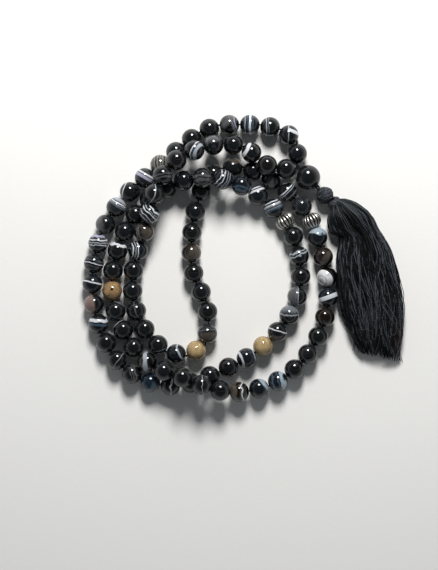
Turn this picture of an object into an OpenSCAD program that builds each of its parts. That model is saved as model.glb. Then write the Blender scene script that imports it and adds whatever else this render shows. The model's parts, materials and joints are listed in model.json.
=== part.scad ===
// A closed string of round stone beads on one cord, lying in loose coils. Two ribbed silver
// dividers part it into three runs. Both cord ends pass through a large end bead into a knot,
// and a thread tassel hangs from the knot. Millimetres, +Z up, resting on Z = 0.

/* [Stone beads] */
// Diameter of a strand bead
bead_d = 8; // [7.5:0.1:8.5]
// Diameter of the hole through a strand bead
bore_d = 1.5; // [1.4:0.1:1.7]
// Diameter of the large end bead
guru_d = 10; // [9.6:0.1:10.4]
// Diameter of the hole through the large end bead
guru_bore_d = 2; // [1.9:0.1:2.4]

/* [Silver dividers] */
// Diameter over the ribs
divider_d = 8; // [7.6:0.1:8]
// Length along the cord
divider_l = 5.6; // [5:0.1:6]
// Number of ribs around it
divider_ribs = 16; // [12:2:20]
// Thickness of one rib
rib_w = 0.8; // [0.6:0.1:1]
// Depth of the grooves between the ribs
rib_depth = 0.45; // [0.3:0.05:0.6]

/* [Cord] */
// Diameter of the stringing cord
cord_d = 0.8; // [0.6:0.1:0.8]
// Free cord between one piece and the next
cord_slack = 0.2; // [0.15:0.05:0.3]
// Diameter of the small knot at the mouth of the large bead
mouth_knot_d = 1.8; // [1.6:0.1:1.8]

/* [Tassel] */
// Diameter of the round knot under the large bead
knot_d = 7; // [6:0.5:7]
// Diameter of the smaller knot lump that the tassel is tied to
lump_d = 5.6; // [5:0.2:5.6]
// Play between the lump and the tassel's socket
socket_play = 0.15; // [0.1:0.05:0.3]
// Length of the thread binding at the waist
waist_l = 1.6; // [1:0.2:2]
// How far the waist binding stands out of the threads
waist_proud = 0.3; // [0.2:0.1:0.5]

/* [Hidden] */
ROUND = 48;
HOLE_ROUND = 24;
TASSEL_SIDES = 20;
CORD_SIDES = 8;
EPS = 0.05;

// Routes are drawn for beads of this diameter, and grow with them.
ROUTE_BEAD_D = 7.8;
grow = bead_d / ROUTE_BEAD_D;
bead_r = bead_d / 2;

// Large end bead: its centre, and the direction in which the cords leave it for the knot.
GURU_AT = [25.5, 32, 0];
GURU_WAY = [0.7071, -0.7071, 0];
guru_c = grow * GURU_AT + [0, 0, guru_d / 2];
MOUTH_OUT = 1.3;
mouth_c = guru_c - (guru_d / 2 + MOUTH_OUT) * GURU_WAY;

// The strand in stretches, in order along the cord: [number of beads, route through them].
FIRST_RUN = [
    [6, [[21, 36.5, 5], [14.5, 37.5, 6], [3.5, 41, 7], [-4, 43.5, 6], [-12, 43, 9],
         [-16.5, 42, 10], [-19.5, 39, 10]]],
    [11, [[-19.5, 39, 10], [-27.5, 31, 11], [-36, 19, 10], [-40, 3, 6], [-42, -9, 4],
          [-40, -20, 4], [-33, -33.5, 4.5], [-31, -36.5, 5]]],
    [3, [[-31, -36.5, 5], [-28, -39, 7], [-23.5, -36, 7], [-20, -31, 5], [-17.5, -24.5, 4]]],
    [6, [[-17.5, -24.5, 4], [-17.5, -13, 4], [-19.5, -1, 4], [-18, 11, 4], [-15.5, 22, 4]]],
    [7, [[-15.5, 22, 4], [-11.5, 30, 4], [-4, 35, 4], [7, 34, 4], [17.5, 28, 4], [24, 18.5, 4]]],
];
SECOND_RUN = [
    [8, [[27, 12.5, 4], [31, 2, 4], [34, -13.5, 4], [30, -28.5, 4], [26.5, -36.5, 4],
         [19, -45.5, 4]]],
    [7, [[19, -45.5, 4], [8, -51.5, 4], [-5.5, -53, 5], [-14, -50.5, 10], [-21.5, -46, 9],
         [-29, -42, 5], [-33.5, -40.5, 4]]],
    [9, [[-33.5, -40.5, 4], [-45, -33, 4], [-50, -19, 4], [-50, -2, 4], [-47, 12, 4],
         [-43, 19, 6], [-39.5, 21.5, 6]]],
    [8, [[-39.5, 21.5, 6], [-29, 28, 5], [-21.5, 31, 6], [-7.5, 32, 11], [6.5, 26, 6],
         [14.5, 17.5, 4]]],
];
THIRD_RUN = [
    [7, [[19, 12.5, 4], [22.5, 2, 4], [24.5, -6, 4], [22, -14, 4], [15.5, -28, 4],
         [6.5, -36, 4]]],
    [7, [[6.5, -36, 4], [-4, -43, 4], [-19, -48.5, 4], [-35, -48, 4], [-46.5, -42, 4]]],
    [9, [[-46.5, -42, 4], [-55.5, -33, 4], [-60, -17.5, 4], [-59.5, -1.5, 4],
         [-55, 13.5, 4], [-47.5, 23, 4]]],
    [11, [[-47.5, 23, 4], [-41, 32.5, 4], [-35, 38, 4], [-20, 45, 4], [-4.5, 52, 4],
          [4, 54, 4], [11.5, 52, 4], [20, 48.5, 4], [23.5, 42, 4], [22, 36.5, 5]]],
];
FIRST_DIVIDER = [25.5, 15.6, 4];
SECOND_DIVIDER = [17, 15.4, 4];

// A curve through a route's points, CURVE_STEPS short pieces to each gap between two points.
CURVE_STEPS = 8;
function blended(a, b, c, d, t) = 0.5 * (2 * b + t * (c - a)
    + t * t * (2 * a - 5 * b + 4 * c - d) + t * t * t * (3 * b - a - 3 * c + d));
function before(p, i) = i > 0 ? p[i - 1] : 2 * p[0] - p[1];
function after(p, i) = i + 2 < len(p) ? p[i + 2] : 2 * p[len(p) - 1] - p[len(p) - 2];
function curve(p) = concat(
    [for (i = [0:len(p) - 2], k = [0:CURVE_STEPS - 1])
        blended(before(p, i), p[i], p[i + 1], after(p, i), k / CURVE_STEPS)],
    [p[len(p) - 1]]);

// Distance walked along a path at each of its points, and the point at a given distance.
function walked(p) = [for (i = 0, s = 0; i < len(p);
    s = i + 1 < len(p) ? s + norm(p[i + 1] - p[i]) : s, i = i + 1) s];
function place(p, walk, s) = [for (axis = [0:2])
    lookup(s, [for (i = [0:len(p) - 1]) [walk[i], p[i][axis]]])];
function spread(n, p) = let (walk = walked(p), all = walk[len(walk) - 1])
    [for (i = [0:n - 1]) grow * place(p, walk, i / n * all)];
function strung(run) = [for (stretch = run, g = spread(stretch[0], curve(stretch[1]))) g];
function count(run) = len(strung(run));

// Members on the cord, in order: [half its length along the cord, radius across the cord].
STONE = [bead_r, bead_r];
DIVIDER = [divider_l / 2, divider_d / 2];
function stones(run) = [for (i = [1:count(run)]) STONE];
member = concat(stones(FIRST_RUN), [DIVIDER], stones(SECOND_RUN), [DIVIDER], stones(THIRD_RUN));
LAST = len(member) - 1;
FIRST_DIVIDER_I = count(FIRST_RUN);
SECOND_DIVIDER_I = FIRST_DIVIDER_I + 1 + count(SECOND_RUN);

// The cord bends only at its joints, in the gaps between members: member i lies midway between
// joints i and i + 1. The first and last joint are the knot at the large bead's mouth.
function end_of(run) = let (stretch = run[len(run) - 1][1]) grow * stretch[len(stretch) - 1];
drawn_joints = concat(
    [mouth_c],
    [for (i = [1:count(FIRST_RUN) - 1]) strung(FIRST_RUN)[i]],
    [end_of(FIRST_RUN)],
    strung(SECOND_RUN),
    [end_of(SECOND_RUN)],
    strung(THIRD_RUN),
    [mouth_c]);
function middles(g) = [for (i = [0:LAST]) (g[i] + g[i + 1]) / 2];
drawn_middles = middles(drawn_joints);

// The free run through the middle of the coil rolls about the line through its two ends.
MIDDLE_FIRST = 20;
MIDDLE_LAST = 25;
function in_middle(i) = i >= MIDDLE_FIRST && i <= MIDDLE_LAST;

// Settling. Members that meet push each other and the large bead away, every link of the cord
// keeps room for its member, joints next to each other even out, and none sinks below bead_r.
// The cord is looser where both its ends meet and where the middle run rolls.
CLEARANCE = 0.2;
END_SLACK = 2.1;
ROLL_SLACK = 0.7;
REACH = 2.1 * bead_d;
EASE = 0.3;
TENSION = 0.1;
EVENNESS = 0.03;
WEIGHT = 0.01;
PASSES = 240;
function rolls(i, j) = in_middle(i) != in_middle(j);
function slack(i) = cord_slack + (i == 0 || i == LAST ? END_SLACK : 0)
    + (rolls(i - 1, i) || rolls(i, i + 1) ? ROLL_SLACK / 2 : 0);
function near(i) = [for (j = [0:LAST])
    if (j != i && norm(drawn_middles[i] - drawn_middles[j]) < REACH) j];
nearby = [for (i = [0:LAST]) near(i)];
function needed(i, j) = abs(i - j) == 1
    ? member[i][0] + member[j][0] + cord_slack + (rolls(i, j) ? ROLL_SLACK : 0)
    : member[i][1] + member[j][1] + CLEARANCE;
function push(from, to, want) = let (away = to - from, far = norm(away))
    away / far * max(0, want - far);
function total(list) = [for (x = list) 1] * list;
function pushed(c, i) = push(guru_c, c[i], guru_d / 2 + member[i][1] + CLEARANCE)
    + total([for (j = nearby[i]) push(c[j], c[i], needed(i, j))]);
function stretched(from, to, want) = let (away = to - from, far = norm(away))
    away / far * (far < want ? want - far : TENSION * (want - far));
function link(i) = 2 * member[i][0] + slack(i);
function moved(g, shove, even, i) = g[i] + EASE * (shove[i - 1] + shove[i]
    + stretched(g[i - 1], g[i], link(i - 1)) + stretched(g[i + 1], g[i], link(i)))
    + even * (g[i - 1] + g[i + 1] - 2 * g[i]) - [0, 0, WEIGHT];
function above_floor(p) = [p[0], p[1], max(p[2], bead_r)];
function pass(g, c, even) = let (shove = [for (i = [0:LAST]) pushed(c, i)])
    [for (i = [0:LAST + 1]) i == 0 || i == LAST + 1 ? g[i] : above_floor(moved(g, shove, even, i))];
function settled(g, passes) = passes == 0 ? g
    : settled(pass(g, middles(g), EVENNESS * passes / PASSES), passes - 1);
joints = settled(drawn_joints, PASSES);
centres = middles(joints);
function unit(v) = v / norm(v);
function bore_way(i) = unit(joints[i + 1] - joints[i]);

// Beads with a node of their own, by their place in each run. The others are in their run's group.
FIRST_SINGLES = [3, 5, 6, 8, 10, 11, 12, 15, 17, 18, 19, 20, 24, 31, 32, 33];
SECOND_SINGLES = [1, 2, 3, 4, 5, 9, 11, 13, 16, 18, 19, 20, 22, 25, 29, 32];
THIRD_SINGLES = [4, 6, 7, 13, 17, 18, 20, 23, 25, 26, 31];
// Each run: [name, the member before its first bead, number of beads, places with their own node].
RUNS = [
    ["first", -1, count(FIRST_RUN), FIRST_SINGLES],
    ["second", FIRST_DIVIDER_I, count(SECOND_RUN), SECOND_SINGLES],
    ["third", SECOND_DIVIDER_I, count(THIRD_RUN), THIRD_SINGLES],
];
function has(list, x) = len([for (y = list) if (y == x) y]) > 0;
function two_digits(k) = k < 10 ? str("0", k) : str(k);
SINGLES = [for (run = RUNS, k = run[3]) [str(run[0], "_run_bead_", two_digits(k)), run[1] + k]];
GROUPS = concat(
    [for (run = RUNS) [str(run[0], "_run_beads"),
        [for (k = [1:run[2]]) if (!has(run[3], k) && !in_middle(run[1] + k)) run[1] + k]]],
    [["middle_beads", [for (i = [MIDDLE_FIRST:MIDDLE_LAST])
        if (!has(FIRST_SINGLES, i - RUNS[0][1])) i]]]);

// Cord pieces: [node name, the first and last joint on it].
CORDS = [
    ["cord_first_part", 0, MIDDLE_FIRST],
    ["cord_middle_part", MIDDLE_FIRST, MIDDLE_LAST + 1],
    ["cord_last_part", MIDDLE_LAST + 1, LAST + 1],
];
// Each piece stops short of the joints where the middle run rolls.
ROLL_GAP = 0.25;

// Tassel: the knot's two lumps, and sections through the threads from the lump to the tips:
// [x, y, half width, half height]. They are drawn at the routes' size, and each section
// rests on Z = 0.
KNOT_AT = [32.2, 25.1];
KNOT_Z = 4;
LUMP_AT = [35.9, 22.2];
LUMP_Z = 3.8;
HEAD = [[36.5, 21.5, 3.6, 3.8], [38.8, 18.8, 5.8, 4.2], [41.5, 15.5, 7.2, 4.6],
        [43.6, 12, 7.8, 4.6], [44.8, 9.5, 7.6, 4.4]];
SKIRT = [[47.2, 2, 9.4, 4.6], [49.5, -6, 11, 4.8], [51, -14, 11.5, 4.8],
         [52.4, -22, 10.6, 4.4], [53.8, -30, 9, 3.8], [55, -37, 7, 3], [55.4, -39.5, 6, 2.6]];
STEM_D = 1.7;
STEM_OUT = 1;
function raised(p, z) = [grow * p[0], grow * p[1], z];
function drawn(sections) = [for (s = sections) [grow * s[0], grow * s[1], grow * s[2], s[3]]];
knot_c = raised(KNOT_AT, KNOT_Z);
lump_c = raised(LUMP_AT, LUMP_Z);
stem_c = guru_c + (guru_d / 2 + STEM_OUT) * GURU_WAY;
head = drawn(HEAD);
skirt = drawn(SKIRT);

// Turns +Z to a direction.
module along(way) {
    rotate([0, acos(way[2]), atan2(way[1], way[0])]) children();
}

// A sphere drilled along Z.
module drilled_ball(d, hole) {
    difference() {
        sphere(d = d, $fn = ROUND);
        cylinder(d = hole, h = d + 1, center = true, $fn = HOLE_ROUND);
    }
}

module bead(i) {
    color("#15181a") translate(centres[i]) along(bore_way(i)) drilled_ball(bead_d, bore_d);
}

module guru_bead() {
    color("#101314") translate(guru_c) along(GURU_WAY) drilled_ball(guru_d, guru_bore_d);
}

// Half outline of a divider in the XY plane, with the cord along Y.
module divider_outline(cut) {
    end_r = 0.55 * divider_d / 2;
    intersection() {
        scale([divider_d / 2 - cut, divider_l / 2 / sqrt(1 - pow(end_r / (divider_d / 2), 2))])
            circle(r = 1, $fn = ROUND);
        square([divider_d, divider_l], center = true);
    }
}

module divider(i) {
    color("#b9bcc0") translate(centres[i]) along(bore_way(i)) difference() {
        union() {
            rotate_extrude($fn = ROUND) intersection() {
                divider_outline(rib_depth);
                translate([0, -divider_l]) square([divider_d, 2 * divider_l]);
            }
            for (k = [0:divider_ribs / 2 - 1]) rotate([90, 0, 360 * k / divider_ribs])
                linear_extrude(rib_w, center = true) divider_outline(0);
        }
        cylinder(d = bore_d, h = divider_l + 1, center = true, $fn = HOLE_ROUND);
    }
}

// The small knot where both cord ends meet, drawn back from the cords by a hair.
module mouth_knot() {
    color("#1b1b1d") translate(mouth_c) sphere(d = mouth_knot_d, $fn = ROUND);
}

// Both cord ends side by side, from the mouth knot through the large bead.
module guru_cords() {
    start = mouth_knot_d / 2 + EPS;
    end = MOUTH_OUT + guru_d + EPS;
    color("#1b1b1d") translate(mouth_c) along(GURU_WAY) for (side = [-1, 1])
        translate([side * (cord_d / 2 + EPS), 0, start])
            cylinder(d = cord_d, h = end - start, $fn = HOLE_ROUND);
}

// A round tube through points, with one ring of CORD_SIDES corners at each.
function ring_way(p, i) = unit(p[min(i + 1, len(p) - 1)] - p[max(i - 1, 0)]);
function ring_side(way) = unit(cross(way, [0, 0, 1]));
function tube_ring(p, i, d) = let (way = ring_way(p, i), side = ring_side(way), up = cross(side, way))
    [for (k = [0:CORD_SIDES - 1])
        p[i] + d / 2 * (cos(360 * k / CORD_SIDES) * side + sin(360 * k / CORD_SIDES) * up)];

// Skins a list of rings, all with the same number of corners, into a closed solid.
module skin(rings) {
    n = len(rings[0]);
    last = len(rings) - 1;
    polyhedron(
        points = [for (ring = rings, p = ring) p],
        faces = concat(
            [[for (k = [0:n - 1]) k]],
            [for (i = [0:last - 1], k = [0:n - 1], half = [0, 1]) let (next = (k + 1) % n)
                half == 0 ? [i * n + k, (i + 1) * n + k, i * n + next]
                : [i * n + next, (i + 1) * n + k, (i + 1) * n + next]],
            [[for (k = [n - 1:-1:0]) last * n + k]]));
}

// The cord starts and stops at the mouth knot, and at the joints of the middle run.
function short_of(i) = i == 0 || i == LAST + 1 ? mouth_knot_d / 2 + EPS : ROLL_GAP;
function cut_back(i, next) = joints[i] + short_of(i) * unit(joints[next] - joints[i]);

module cord(first, last) {
    points = concat(
        [cut_back(first, first + 1)],
        [for (i = [first + 1:last - 1]) joints[i]],
        [cut_back(last, last - 1)]);
    color("#1b1b1d") skin([for (i = [0:len(points) - 1]) tube_ring(points, i, cord_d)]);
}

// Two round lumps of wound thread, with a short stem back to the large bead's hole.
module tassel_knot() {
    color("#202225") {
        translate(knot_c) sphere(d = knot_d, $fn = ROUND);
        translate(lump_c) sphere(d = lump_d, $fn = ROUND);
        translate(stem_c) sphere(d = STEM_D, $fn = HOLE_ROUND);
        translate(stem_c) along(unit(knot_c - stem_c))
            cylinder(d = STEM_D, h = norm(knot_c - stem_c), $fn = HOLE_ROUND);
    }
}

// Oval sections through the threads, square to the line through them.
function section_way(s, i) = let (a = s[max(i - 1, 0)], b = s[min(i + 1, len(s) - 1)])
    unit([b[0] - a[0], b[1] - a[1], 0]);
function oval(s, way, proud) = let (side = cross(way, [0, 0, 1]), c = [s[0], s[1], s[3]])
    [for (k = [0:TASSEL_SIDES - 1]) let (turn = 360 * k / TASSEL_SIDES)
        c + (s[2] + proud) * cos(turn) * side + [0, 0, s[3] * sin(turn)]];
module threads(sections) {
    skin([for (i = [0:len(sections) - 1]) oval(sections[i], section_way(sections, i), 0)]);
}

module tassel_head() {
    color("#22252a") difference() {
        threads(head);
        translate(lump_c) sphere(d = lump_d + 2 * socket_play, $fn = ROUND);
    }
}

module waist_binding() {
    waist = head[len(head) - 1];
    way = section_way(head, len(head) - 1);
    color("#1a1c20") skin([for (step = [EPS, EPS + waist_l])
        oval([waist[0] + step * way[0], waist[1] + step * way[1], waist[2], waist[3]], way,
            waist_proud)]);
}

// The threads below the waist start square to it, just past the binding.
module tassel_skirt() {
    waist = head[len(head) - 1];
    way = section_way(head, len(head) - 1);
    step = waist_l + 2 * EPS;
    start = [waist[0] + step * way[0], waist[1] + step * way[1], waist[2], waist[3]];
    sections = concat([start], skirt);
    color("#22252a") skin([for (i = [0:len(sections) - 1])
        oval(sections[i], i == 0 ? way : section_way(sections, i), 0)]);
}

guru_bead();
divider(SECOND_DIVIDER_I);  // upper_divider
divider(FIRST_DIVIDER_I);  // lower_divider
mouth_knot();
guru_cords();
for (s = SINGLES) bead(s[1]);
for (g = GROUPS) for (i = g[1]) bead(i);
for (c = CORDS) cord(c[1], c[2]);
tassel_knot();
tassel_head();
waist_binding();
tassel_skirt();
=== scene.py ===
"""Mala prayer beads laid in loose coils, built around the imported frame. Metres, +Z up."""

import json
import math

import bmesh
import bpy
import numpy as np
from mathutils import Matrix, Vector

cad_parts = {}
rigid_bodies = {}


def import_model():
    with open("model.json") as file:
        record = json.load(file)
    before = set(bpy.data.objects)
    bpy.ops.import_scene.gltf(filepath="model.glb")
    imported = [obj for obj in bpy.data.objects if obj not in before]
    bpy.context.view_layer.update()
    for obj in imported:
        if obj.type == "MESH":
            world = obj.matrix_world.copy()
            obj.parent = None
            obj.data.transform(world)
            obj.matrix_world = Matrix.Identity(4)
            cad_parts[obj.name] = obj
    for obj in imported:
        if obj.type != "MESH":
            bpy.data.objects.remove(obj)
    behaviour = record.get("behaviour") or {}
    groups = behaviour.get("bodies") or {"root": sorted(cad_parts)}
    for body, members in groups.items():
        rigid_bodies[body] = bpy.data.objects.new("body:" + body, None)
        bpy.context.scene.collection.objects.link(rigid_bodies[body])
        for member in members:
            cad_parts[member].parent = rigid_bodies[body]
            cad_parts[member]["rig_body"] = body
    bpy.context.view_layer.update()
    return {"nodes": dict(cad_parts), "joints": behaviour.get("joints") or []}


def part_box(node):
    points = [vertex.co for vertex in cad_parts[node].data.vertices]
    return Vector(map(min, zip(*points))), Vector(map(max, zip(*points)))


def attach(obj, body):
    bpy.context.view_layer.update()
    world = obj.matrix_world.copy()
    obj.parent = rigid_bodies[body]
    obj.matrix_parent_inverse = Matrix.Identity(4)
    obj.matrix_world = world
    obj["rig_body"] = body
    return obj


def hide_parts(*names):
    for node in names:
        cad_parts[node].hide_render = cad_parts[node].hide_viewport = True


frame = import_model()

MM = 0.001
rng = np.random.default_rng(7)

# ---------------------------------------------------------------- camera, light and floor

LENS = 100
SENSOR = 36
VIEW_HEIGHT = 228 * MM
VIEW_CENTRE = (-9.4 * MM, -10.2 * MM)
BEAD_LEVEL = 5 * MM


def add_camera():
    """Straight down on the string, high enough that VIEW_HEIGHT fills the picture."""
    data = bpy.data.cameras.new("camera")
    data.lens = LENS
    data.sensor_width = SENSOR
    data.clip_start = 0.01
    camera = bpy.data.objects.new("camera", data)
    camera.location = (*VIEW_CENTRE, BEAD_LEVEL + VIEW_HEIGHT * LENS / SENSOR)
    bpy.context.scene.collection.objects.link(camera)
    bpy.context.scene.camera = camera


def add_lamp(name, place, size, watts, colour):
    """A round lamp at a place, turned to the middle of the string."""
    data = bpy.data.lights.new(name, "AREA")
    data.shape = "DISK"
    data.size = size
    data.energy = watts
    data.color = colour
    lamp = bpy.data.objects.new(name, data)
    lamp.location = place
    aim = Vector((0, 0, 0)) - Vector(place)
    lamp.rotation_euler = aim.to_track_quat("-Z", "Y").to_euler()
    bpy.context.scene.collection.objects.link(lamp)


def add_world():
    """A studio that is pale at the horizon and dimmer overhead."""
    world = bpy.data.worlds.new("studio")
    bpy.context.scene.world = world
    world.use_nodes = True
    tree = world.node_tree
    coordinates = tree.nodes.new("ShaderNodeTexCoord")
    split = tree.nodes.new("ShaderNodeSeparateXYZ")
    ramp = tree.nodes.new("ShaderNodeValToRGB")
    ramp.color_ramp.elements[0].position = 0.05
    ramp.color_ramp.elements[0].color = (0.78, 0.80, 0.82, 1)
    ramp.color_ramp.elements[1].position = 0.6
    ramp.color_ramp.elements[1].color = (0.045, 0.05, 0.052, 1)
    tree.links.new(coordinates.outputs["Generated"], split.inputs[0])
    tree.links.new(split.outputs["Z"], ramp.inputs[0])
    tree.links.new(ramp.outputs["Color"], tree.nodes["Background"].inputs["Color"])


def rgb(r, g, b):
    """A colour as a screen shows it, 0 to 255, in the linear values that shaders take."""
    def linear(v):
        v /= 255
        return v / 12.92 if v <= 0.04045 else ((v + 0.055) / 1.055) ** 2.4
    return (linear(r), linear(g), linear(b), 1)


def node(tree, kind, inputs=(), **settings):
    """A new shader node, with its settings, and its inputs set or linked by name or number."""
    made = tree.nodes.new(kind)
    for key, value in settings.items():
        setattr(made, key, value)
    for key, value in dict(inputs).items():
        if isinstance(value, bpy.types.NodeSocket):
            tree.links.new(value, made.inputs[key])
        else:
            made.inputs[key].default_value = value
    return made


def new_material(name):
    """(material, its node tree, its Principled shader)"""
    material = bpy.data.materials.new(name)
    material.use_nodes = True
    return material, material.node_tree, material.node_tree.nodes["Principled BSDF"]


def math_node(tree, operation, *values):
    """The result of a sum, product or other operation on values or sockets."""
    return node(tree, "ShaderNodeMath", enumerate(values), operation=operation).outputs[0]


def spread(tree, value, low, high):
    """A value from 0 to 1 spread over low to high."""
    inputs = {"Value": value, "To Min": low, "To Max": high}
    return node(tree, "ShaderNodeMapRange", inputs).outputs["Result"]


def mixed(tree, share, a, b):
    """Colour a where share is 0, and b where it is 1."""
    made = node(tree, "ShaderNodeMix", data_type="RGBA")
    for slot, value in ((0, share), (6, a), (7, b)):
        if isinstance(value, bpy.types.NodeSocket):
            tree.links.new(value, made.inputs[slot])
        else:
            made.inputs[slot].default_value = value
    return made.outputs[2]


def noise(tree, where, scale, detail=2.0):
    """A noise node read at a place."""
    inputs = {"Vector": where, "Scale": scale, "Detail": detail}
    return node(tree, "ShaderNodeTexNoise", inputs)


def add_bump(tree, shader, height, distance):
    """Small dents from a height, with no change to the mesh."""
    inputs = {"Height": height, "Distance": distance, "Strength": 1.0}
    tree.links.new(node(tree, "ShaderNodeBump", inputs).outputs[0], shader.inputs["Normal"])


def add_floor():
    """A plain pale sheet under the string."""
    half = 1.5
    mesh = bpy.data.meshes.new("floor")
    mesh.from_pydata([(-half, -half, 0), (half, -half, 0), (half, half, 0), (-half, half, 0)],
                     [], [(0, 1, 2, 3)])
    floor = bpy.data.objects.new("floor", mesh)
    floor.location.z = -0.05 * MM
    bpy.context.scene.collection.objects.link(floor)
    material, tree, shader = new_material("floor_paper")
    where = node(tree, "ShaderNodeTexCoord").outputs["Object"]
    grain = noise(tree, where, 900).outputs[0]
    tree.links.new(mixed(tree, grain, rgb(250, 250, 249), rgb(255, 255, 254)),
                   shader.inputs["Base Color"])
    shader.inputs["Roughness"].default_value = 0.85
    mesh.materials.append(material)


# ---------------------------------------------------------------- the strand, read from the frame

RUNS = (("first", 33), ("second", 32), ("third", 34))
BORE_R = 0.75 * MM
GURU_BORE_R = 1.0 * MM
HINGES = {joint["child"]: joint for joint in frame["joints"]}


def islands(name):
    """The separate solids of a CAD node: (the corners of each triangle, the points)."""
    work = bmesh.new()
    work.from_mesh(frame["nodes"][name].data)
    bmesh.ops.remove_doubles(work, verts=work.verts, dist=1e-7)
    left, found = set(work.verts), []
    while left:
        queue, part = [left.pop()], []
        while queue:
            vertex = queue.pop()
            part.append(vertex)
            for edge in vertex.link_edges:
                other = edge.other_vert(vertex)
                if other in left:
                    left.remove(other)
                    queue.append(other)
        faces = {face for vertex in part for face in vertex.link_faces}
        corners = np.array([[tuple(v.co) for v in face.verts] for face in faces])
        found.append((corners, np.array([tuple(v.co) for v in part])))
    work.free()
    return found


def ball_in(corners, points):
    """(centre, bore direction, radius) of a drilled ball: its bore's faces lie near its middle."""
    centre = (points.min(0) + points.max(0)) / 2
    radius = np.linalg.norm(points - centre, axis=1).max()
    near = np.linalg.norm(corners.mean(axis=1) - centre, axis=1) < 0.6 * radius
    rims = corners[near].reshape(-1, 3) - centre
    direction = np.linalg.svd(rims, full_matrices=False)[2][0]
    return centre, direction, radius


def members():
    """Every bead and divider as a dict, in order along the cord from the large bead's mouth."""
    loose = []
    for name, cad in frame["nodes"].items():
        body = cad["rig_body"]
        if name.endswith("_beads"):
            for corners, points in islands(name):
                centre, way, radius = ball_in(corners, points)
                loose.append(dict(node=name, body=body, at=centre, way=way, half=radius))
        elif "_bead_" in name or name.endswith("divider"):
            hinge = HINGES[body]
            way = np.array(hinge["axis"]) / np.linalg.norm(hinge["axis"])
            points = np.array([v.co for v in cad.data.vertices]) - hinge["pos_m"]
            loose.append(dict(node=name, body=body, at=np.array(hinge["pos_m"]), way=way,
                              half=float(np.abs(points @ way).max())))
    end = np.array(sum(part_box("mouth_knot"), Vector()) / 2)
    firsts = [m for m in loose if m["node"].startswith("first")]
    ordered = []
    while loose:
        choice = firsts if not ordered else loose
        best = min(((np.linalg.norm(m["at"] + side * m["half"] * m["way"] - end), k, side)
                    for k, m in enumerate(choice) for side in (-1, 1)))
        member = choice[best[1]]
        loose = [m for m in loose if m is not member]
        member["way"] = -best[2] * member["way"]
        end = member["at"] + member["half"] * member["way"]
        ordered.append(member)
    return ordered


strand = members()
stones = [m for m in strand if "divider" not in m["node"]]
dividers = [m for m in strand if "divider" in m["node"]]
names = [(run, place) for run, count in RUNS for place in range(1, count + 1)]
for stone, name in zip(stones, names, strict=True):
    stone["name"] = name
BEAD_R = stones[0]["half"]

# ---------------------------------------------------------------- mesh helpers


def walked_along(points):
    """The distance walked from the first point to each point."""
    return np.concatenate([[0], np.cumsum(np.linalg.norm(np.diff(points, axis=0), axis=1))])


def add_piece(name, points, faces, materials, body, replaced, attributes=(), kinds=None):
    """A smooth mesh piece that rides on a body and stands for CAD nodes."""
    mesh = bpy.data.meshes.new(name)
    mesh.from_pydata(points.tolist(), [], faces if isinstance(faces, list) else faces.tolist())
    for material in materials:
        mesh.materials.append(material)
    if kinds is not None:
        mesh.polygons.foreach_set("material_index", np.asarray(kinds, np.int32))
    for key, values in dict(attributes).items():
        values = np.asarray(values, np.float32)
        kind = "FLOAT_VECTOR" if values.ndim == 2 else "FLOAT"
        field = "vector" if values.ndim == 2 else "value"
        mesh.attributes.new(key, kind, "POINT").data.foreach_set(field, values.ravel())
    mesh.polygons.foreach_set("use_smooth", [True] * len(mesh.polygons))
    mesh.update()
    piece = bpy.data.objects.new(name, mesh)
    bpy.context.scene.collection.objects.link(piece)
    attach(piece, body)
    if replaced:
        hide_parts(*replaced)


def turned_to(way):
    """Three columns: two directions across way, then way."""
    way = np.asarray(way) / np.linalg.norm(way)
    side = np.cross(way, (0, 0, 1) if abs(way[2]) < 0.9 else (1, 0, 0))
    side /= np.linalg.norm(side)
    return np.stack([side, np.cross(way, side), way], axis=1)


def lathe(profile, sides):
    """A closed profile of (radius, height) turned about Z: (points, faces)."""
    angles = np.linspace(0, 2 * np.pi, sides, endpoint=False)
    radius, height = np.asarray(profile).T
    points = np.stack([np.outer(np.cos(angles), radius), np.outer(np.sin(angles), radius),
                       np.tile(height, (sides, 1))], axis=2).reshape(-1, 3)
    return points, grid_faces(sides, len(profile), True, True)


def grid_faces(rows, columns, close_rows, close_columns):
    """Quads over a grid of points in rows, closed round either way."""
    i, j = np.meshgrid(np.arange(rows if close_rows else rows - 1),
                       np.arange(columns if close_columns else columns - 1), indexing="ij")
    a, b = i * columns, (i + 1) % rows * columns
    k = (j + 1) % columns
    return np.stack([a + j, b + j, b + k, a + k], axis=2).reshape(-1, 4)


def drilled_ball(radius, bore_r, sides=48, steps=26):
    """A ball with a bore along Z, its two mouths rounded."""
    lip = 0.22 * MM
    start = math.asin((bore_r + lip) / radius)
    outer = [(radius * math.sin(t), -radius * math.cos(t))
             for t in np.linspace(start, math.pi - start, steps)]
    mouth = outer[-1][1]
    rounded = [(bore_r + lip - lip * math.sin(t), mouth - lip + lip * math.cos(t))
               for t in np.linspace(0.5, math.pi / 2, 4)]
    bore = [(bore_r, 0.3 * mouth), (bore_r, -0.3 * mouth)]
    return lathe(outer + rounded + bore + [(r, -h) for r, h in reversed(rounded)], sides)


# ---------------------------------------------------------------- stone

BLACK = rgb(7, 10, 11)
INKY = rgb(8, 15, 22)
DARK_GREY = rgb(28, 31, 35)
SMOKE = rgb(82, 83, 85)
GREY = rgb(112, 118, 126)
MIST = rgb(158, 165, 174)
WHITE = rgb(206, 210, 216)
LILAC = rgb(158, 157, 178)
SLATE = rgb(62, 80, 96)
ICE = rgb(150, 166, 178)
UMBER = rgb(24, 17, 12)
TAUPE = rgb(72, 66, 59)
ROSE = rgb(122, 104, 100)
HONEY = rgb(172, 152, 112)
AMBER = rgb(152, 124, 88)


def across(way, *bands, rise=12, wave=0.05):
    """Bands in planes square to a direction: its bearing and rise in degrees.
    A band is (place from -1 to 1 along the direction, half width, colour, softness)."""
    return dict(way=way, rise=rise, wave=wave, bands=bands, round_point=False)


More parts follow.
